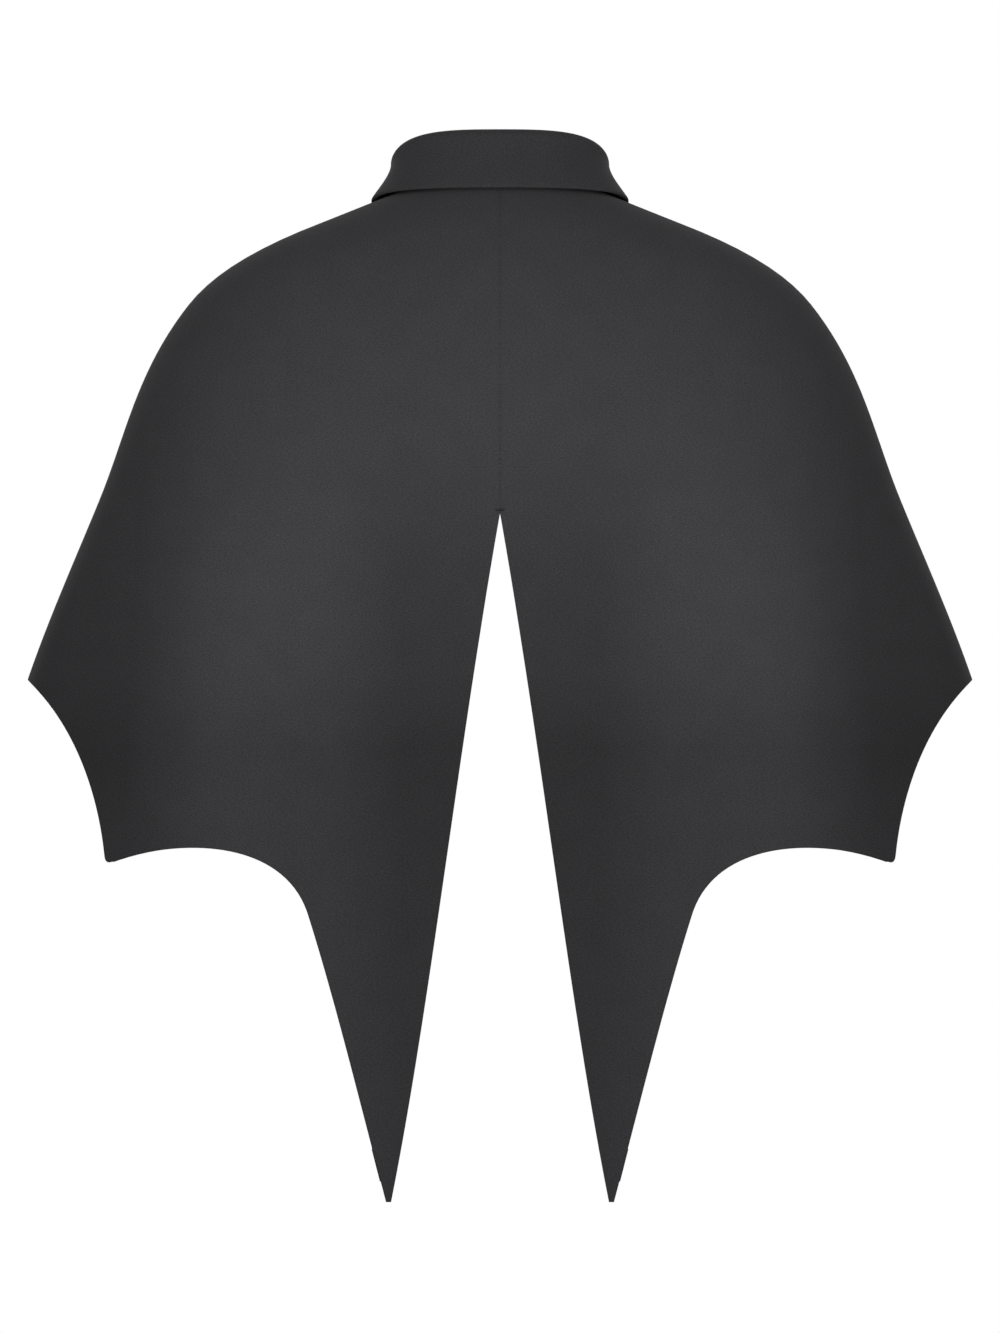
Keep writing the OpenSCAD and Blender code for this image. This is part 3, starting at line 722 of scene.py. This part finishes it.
def collar_layer(name, first, last, top, thickness, edge_top, edge_thickness):
    """A collar layer between two stations. Its outer edges roll over the whole collar's thickness."""
    spacing = np.linspace(first, last, max(4, int(40 * (last - first))))
    ends = np.array([0.002, 0.006, 0.014, 0.03, 0.06])
    u = np.unique(np.round(np.concatenate([spacing, last - ends, first + ends]), 4))
    step = np.array([0, 0.05, 0.15, 0.4, 0.8, 1.3])
    middle = np.linspace(-COLLAR_END + 2, COLLAR_END - 2, 240)
    a = np.concatenate([-COLLAR_END + step, middle, COLLAR_END - step[::-1]])
    a, u = np.meshgrid(a, u)
    grid = collar_point(a, u, np.zeros_like(a))
    side_speed = np.linalg.norm(np.diff(grid[:, -2:], axis=1), axis=-1) / 0.05
    distance = (COLLAR_END - np.abs(a)) * side_speed
    if last >= 2.9:
        fall_speed = np.linalg.norm(grid[-1] - grid[-2], axis=-1) / (u[-1, 0] - u[-2, 0])
        distance = np.minimum(distance, (last - u) * fall_speed)
    roll = edge_roll(distance, edge_thickness)
    high = np.minimum(top, edge_top - roll)
    low = np.maximum(top - thickness, edge_top - edge_thickness + roll)
    middle = (high + low) / 2
    high, low = np.maximum(high, middle + 0.02), np.minimum(low, middle - 0.02)
    upper, lower = collar_point(a, u, high), collar_point(a, u, low)
    along = np.linalg.norm(np.diff(grid, axis=1), axis=-1)
    place_u = np.concatenate([np.zeros((len(grid), 1)), np.cumsum(along, 1)], 1)
    place_u = place_u - place_u[:, place_u.shape[1] // 2][:, None]
    down = np.linalg.norm(np.diff(grid, axis=0), axis=-1)
    place_v = np.concatenate([np.zeros((1, grid.shape[1])), np.cumsum(down, 0)], 0)
    return skin(name, upper, lower, np.stack([place_u, -place_v], -1))


WHOLE = 2 * COLLAR_HALF
UPPER_TOP = COLLAR_HALF
UNDER_TOP = -COLLAR_CANVAS / 2 - COLLAR_GAP
COLLAR_PIECES = [
    ("collar_upper", 0, 3, UPPER_TOP, COLLAR_LAYER,
     ["collar_fall_upper", "collar_stand_inner"], "wool", 0.0486),
    ("collar_under", 0, 2.97, UNDER_TOP, COLLAR_LAYER,
     ["collar_fall_under", "collar_stand_outer"], "wool", 0.0448),
    ("collar_canvas", 0, 2.95, COLLAR_CANVAS / 2, COLLAR_CANVAS,
     ["collar_fall_interlining", "collar_stand_interlining"], "canvas", 0.0454),
]
for name, first, last, top, thickness, nodes, slot, area in COLLAR_PIECES:
    piece = collar_layer(name, first, last, top, thickness, UPPER_TOP, WHOLE)
    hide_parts(*nodes)
    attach(dress(piece, slot), "yoke")


# ---------------------------------------------------------------- the tab and the press stud

TAB_PLACE = np.array([0, -115.2, -118.0])
TAB_LEAN = math.radians(-20)
TAB_LENGTH, TAB_WIDTH, TAB_HINGE = 86, 25, 31
TAB_LAYER, TAB_CANVAS, TAB_REST = 1.2, 0.5, 4.3


def at_tab(p):
    """From the tab's own space (x along it, y into the cape, z up) to the cape's."""
    c, s = math.cos(TAB_LEAN), math.sin(TAB_LEAN)
    turned = np.stack([p[..., 0], c * p[..., 1] - s * p[..., 2], s * p[..., 1] + c * p[..., 2]], -1)
    return turned + TAB_PLACE


def tab_layer(name, top, thickness, inset, last, slot, nodes, tuck=False):
    """A layer of the tab: a strip with one round end. tuck turns its sewn end down on to the cape."""
    half = TAB_WIDTH / 2 - inset
    first = -TAB_LENGTH / 2 + inset
    bend = np.linspace(0, math.pi / 2, 22)
    round_x = first + half * (1 - np.cos(bend))
    straight = np.linspace(first + half, last, 60)[1:]
    x = np.concatenate([round_x, straight, last - np.array([0.8, 0.3, 0.1])])
    x = np.unique(np.round(x, 4))
    reach = np.clip((first + half - x) / half, 0, 1)
    width = half * np.sqrt(np.maximum(1 - reach**2, 0.0004))
    edge = np.array([0, 0.02, 0.06, 0.13, 0.3, 0.7])
    z = np.concatenate([-1 + edge / half, np.linspace(-1, 1, 26)[2:-2], 1 - edge[::-1] / half])
    x, share = np.meshgrid(x, z, indexing="ij")
    across = share * width[:, None]
    tip = np.hypot(np.maximum(first + half - x, 0), across)
    distance = np.where(x < first + half, half - tip, width[:, None] - np.abs(across))
    distance = np.maximum(np.minimum(distance, last - x), 0)
    roll = edge_roll(distance, thickness)
    sunk = (TAB_REST - thickness) * smooth((x - TAB_HINGE - 1) / 8) if tuck else 0
    high, low = top + roll + sunk, top + thickness - roll + sunk
    upper = at_tab(np.stack([x, high, across], -1))
    lower = at_tab(np.stack([x, low, across], -1))
    obj = skin(name, upper, lower, np.stack([x, across], -1), flipped=True)
    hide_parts(*nodes)
    dress(obj, slot)
    hinge = at_tab(np.array([TAB_HINGE, 0.0, 0.0])) * MM
    start, end = Vector(hinge), Vector(hinge)
    start.x += 0.003
    end.x -= 0.009
    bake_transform(obj)
    return obj


tab_outer = tab_layer("tab_outer", 0, TAB_LAYER, 0, TAB_LENGTH / 2, "wool",
                      ["front_tab_outer", "front_tab_anchor"], tuck=True)
tab_canvas = tab_layer(
    "tab_canvas", TAB_LAYER, TAB_CANVAS, 1.5, TAB_HINGE - 1, "canvas", ["front_tab_interlining"]
)
tab_lining = tab_layer(
    "tab_lining", TAB_LAYER + TAB_CANVAS, LINING, 0.6, TAB_HINGE - 0.5, "lining", ["front_tab_lining"]
)

for name in ("snap_cap", "snap_socket", "snap_stud", "snap_post"):
    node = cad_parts[name]
    node.data.materials.clear()
    node.data.materials.append(MATERIALS["snap_metal"])


# ---------------------------------------------------------------- the hanger loop and the bar tack


def tube(name, path, radius, sides=16, twist=0.0, bulge=None):
    """A closed tube along a path of points, with flat capped ends."""
    tangent = np.gradient(path, axis=0)
    tangent /= np.linalg.norm(tangent, axis=-1, keepdims=True)
    up = np.array([0, 1.0, 0]) + 0 * tangent
    n = up - (up * tangent).sum(-1, keepdims=True) * tangent
    n /= np.linalg.norm(n, axis=-1, keepdims=True)
    b = np.cross(tangent, n)
    turn = np.linspace(0, 2 * math.pi, sides, endpoint=False)
    spin = turn[None] + twist * np.arange(len(path))[:, None]
    r = radius * (np.ones((len(path), sides)) if bulge is None else bulge(spin, len(path)))
    round_it = np.cos(spin)[..., None] * n[:, None] + np.sin(spin)[..., None] * b[:, None]
    ring = path[:, None] + r[..., None] * round_it
    points = np.concatenate([ring.reshape(-1, 3), path[:1], path[-1:]])
    faces, rings = [], len(path)
    for i in range(rings - 1):
        for k in range(sides):
            m = (k + 1) % sides
            faces.append((i * sides + k, i * sides + m, (i + 1) * sides + m, (i + 1) * sides + k))
    first, final = rings * sides, rings * sides + 1
    for k in range(sides):
        m = (k + 1) % sides
        faces.append((m, k, first))
        faces.append(((rings - 1) * sides + k, (rings - 1) * sides + m, final))
    length = np.concatenate([[0], np.cumsum(np.linalg.norm(np.diff(path, axis=0), axis=-1))])
    place = np.stack(np.broadcast_arrays(turn[None] * radius, length[:, None]), -1).reshape(-1, 2)
    place = np.concatenate([place, [[0, 0]], [[0, length[-1]]]])
    return mesh_object(name, points * MM, faces, place * MM)


LOOP_R, LOOP_CORD_R, LOOP_PLACE = 24, 1.8, np.array([0, 59.5, 12.0])


def rouleau_seam(spin, rings):
    """A bias rouleau is a little flat, with its seam as a shallow groove on one side."""
    groove = np.exp(-((np.angle(np.exp(1j * (spin - math.pi)))) ** 2) / 0.05)
    return 0.97 + 0.03 * np.cos(2 * spin) - 0.12 * groove


turn = np.linspace(0, math.pi, 90)
loop_path = LOOP_PLACE + LOOP_R * np.stack([np.cos(turn), 0 * turn, -np.sin(turn)], -1)
loop = tube("loop_rouleau", loop_path, LOOP_CORD_R, 24, 0.0, rouleau_seam)
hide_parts("hanger_loop")
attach(dress(loop, "lining"), "hanger_loop")

TACK_LENGTH, TACK_R, TACK_TURNS = 7.0, 0.55, 15
tack_middle = cloth(np.array(0.01), np.array(-249.0), BACK) + np.array([0, 0.35, 0])
tack_along = np.linspace(-TACK_LENGTH / 2, TACK_LENGTH / 2, 12)
core = tack_middle + np.stack([tack_along, 0 * tack_along, 0 * tack_along], -1)
tack = tube("tack_vent", core, TACK_R, 12)
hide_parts("vent_bar_tack")
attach(dress(tack, "thread"), "yoke")
wrap = np.linspace(0, TACK_TURNS * 2 * math.pi, TACK_TURNS * 14)
coil = np.stack([
    (wrap / wrap[-1] - 0.5) * (TACK_LENGTH - 0.8),
    (TACK_R + 0.12) * np.cos(wrap),
    (TACK_R + 0.12) * np.sin(wrap),
], -1) + tack_middle
wraps = tube("tack_vent_wraps", coil, 0.16, 8)
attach(dress(wraps, "thread"), "yoke")


# ---------------------------------------------------------------- floor, light and camera

FLOOR = -1.45
FLOOR_RADIUS = 3.4


def stage_floor():
    turn = np.linspace(0, 2 * math.pi, 128, endpoint=False)
    points = np.stack([FLOOR_RADIUS * np.cos(turn), FLOOR_RADIUS * np.sin(turn), FLOOR + 0 * turn], -1)
    floor = mesh_object("floor", points, [list(range(len(turn)))])
    n = Nodes("floor")
    place = n.add("ShaderNodeTexCoord").outputs["Object"]
    value = n.ramp(n.noise(place, 3, 2.0, 0.5), 0.3, 0.7, 0.99, 1.0)
    colour = n.tinted((0.9, 0.9, 0.9), value)
    floor.data.materials.append(n.finish(Base_Color=colour, Roughness=0.9))


def area_light(name, place, aim, size, power):
    light = bpy.data.lights.new(name, "AREA")
    light.shape = "RECTANGLE"
    light.size, light.size_y = size
    light.energy = power
    obj = bpy.data.objects.new(name, light)
    obj.location = place
    obj.rotation_mode = "QUATERNION"
    obj.rotation_quaternion = (Vector(aim) - Vector(place)).to_track_quat("-Z", "Y")
    obj.visible_camera = False
    bpy.context.scene.collection.objects.link(obj)
    return obj


# Kind, place, aim (x and z), size and watts of each lamp on the left; the right's are mirrored
SIDE_LAMPS = [
    ("key", (0.16, 0.55, -0.18), (0.16, -0.2), (0.2, 0.2), 0.77),
    ("edge", (0.42, 0.6, -0.28), (0.28, -0.3), (0.1, 0.3), 0.16),
    ("front", (0.25, -0.9, -0.1), (0.12, -0.25), (0.3, 0.3), 1.6),
]


def studio():
    """A white room that the camera sees as plain white, with soft lamps behind the wearer and in front."""
    world = bpy.data.worlds.new("studio")
    bpy.context.scene.world = world
    world.use_nodes = True
    tree = world.node_tree
    tree.nodes.clear()
    seen = tree.nodes.new("ShaderNodeBackground")
    lit = tree.nodes.new("ShaderNodeBackground")
    seen.inputs["Strength"].default_value = 1.0
    seen.inputs["Color"].default_value = (1, 1, 1, 1)
    lit.inputs["Strength"].default_value = 0.37
    lit.inputs["Color"].default_value = (1, 1, 1, 1)
    path = tree.nodes.new("ShaderNodeLightPath")
    mix = tree.nodes.new("ShaderNodeMixShader")
    out = tree.nodes.new("ShaderNodeOutputWorld")
    tree.links.new(path.outputs["Is Camera Ray"], mix.inputs[0])
    tree.links.new(lit.outputs[0], mix.inputs[1])
    tree.links.new(seen.outputs[0], mix.inputs[2])
    tree.links.new(mix.outputs[0], out.inputs["Surface"])
    area_light("top_behind", (0.0, 0.7, 0.8), (0, 0, -0.2), (0.5, 0.5), 1.0)
    area_light("top_front", (0.0, -0.8, 0.8), (0, 0, -0.2), (0.5, 0.5), 1.2)
    for side_name, side in SIDES.items():
        for kind, (x, y, z), (aim_x, aim_z), size, power in SIDE_LAMPS:
            place, aim = (x * side, y, z), (aim_x * side, 0, aim_z)
            area_light(f"{kind}_{side_name}", place, aim, size, power)


def camera():
    """A long lens level with the middle of the cape, behind the wearer."""
    data = bpy.data.cameras.new("camera")
    obj = bpy.data.objects.new("camera", data)
    bpy.context.scene.collection.objects.link(obj)
    distance, tall = 16.0, 1.0664
    data.sensor_fit = "AUTO"
    data.sensor_width = 36
    data.lens = data.sensor_width * distance / tall
    data.clip_end = 200
    obj.location = (0, distance, -0.3732)
    obj.rotation_euler = (math.radians(90), 0, math.radians(180))
    bpy.context.scene.camera = obj


stage_floor()
studio()
camera()
bpy.context.scene.view_settings.view_transform = "Standard"
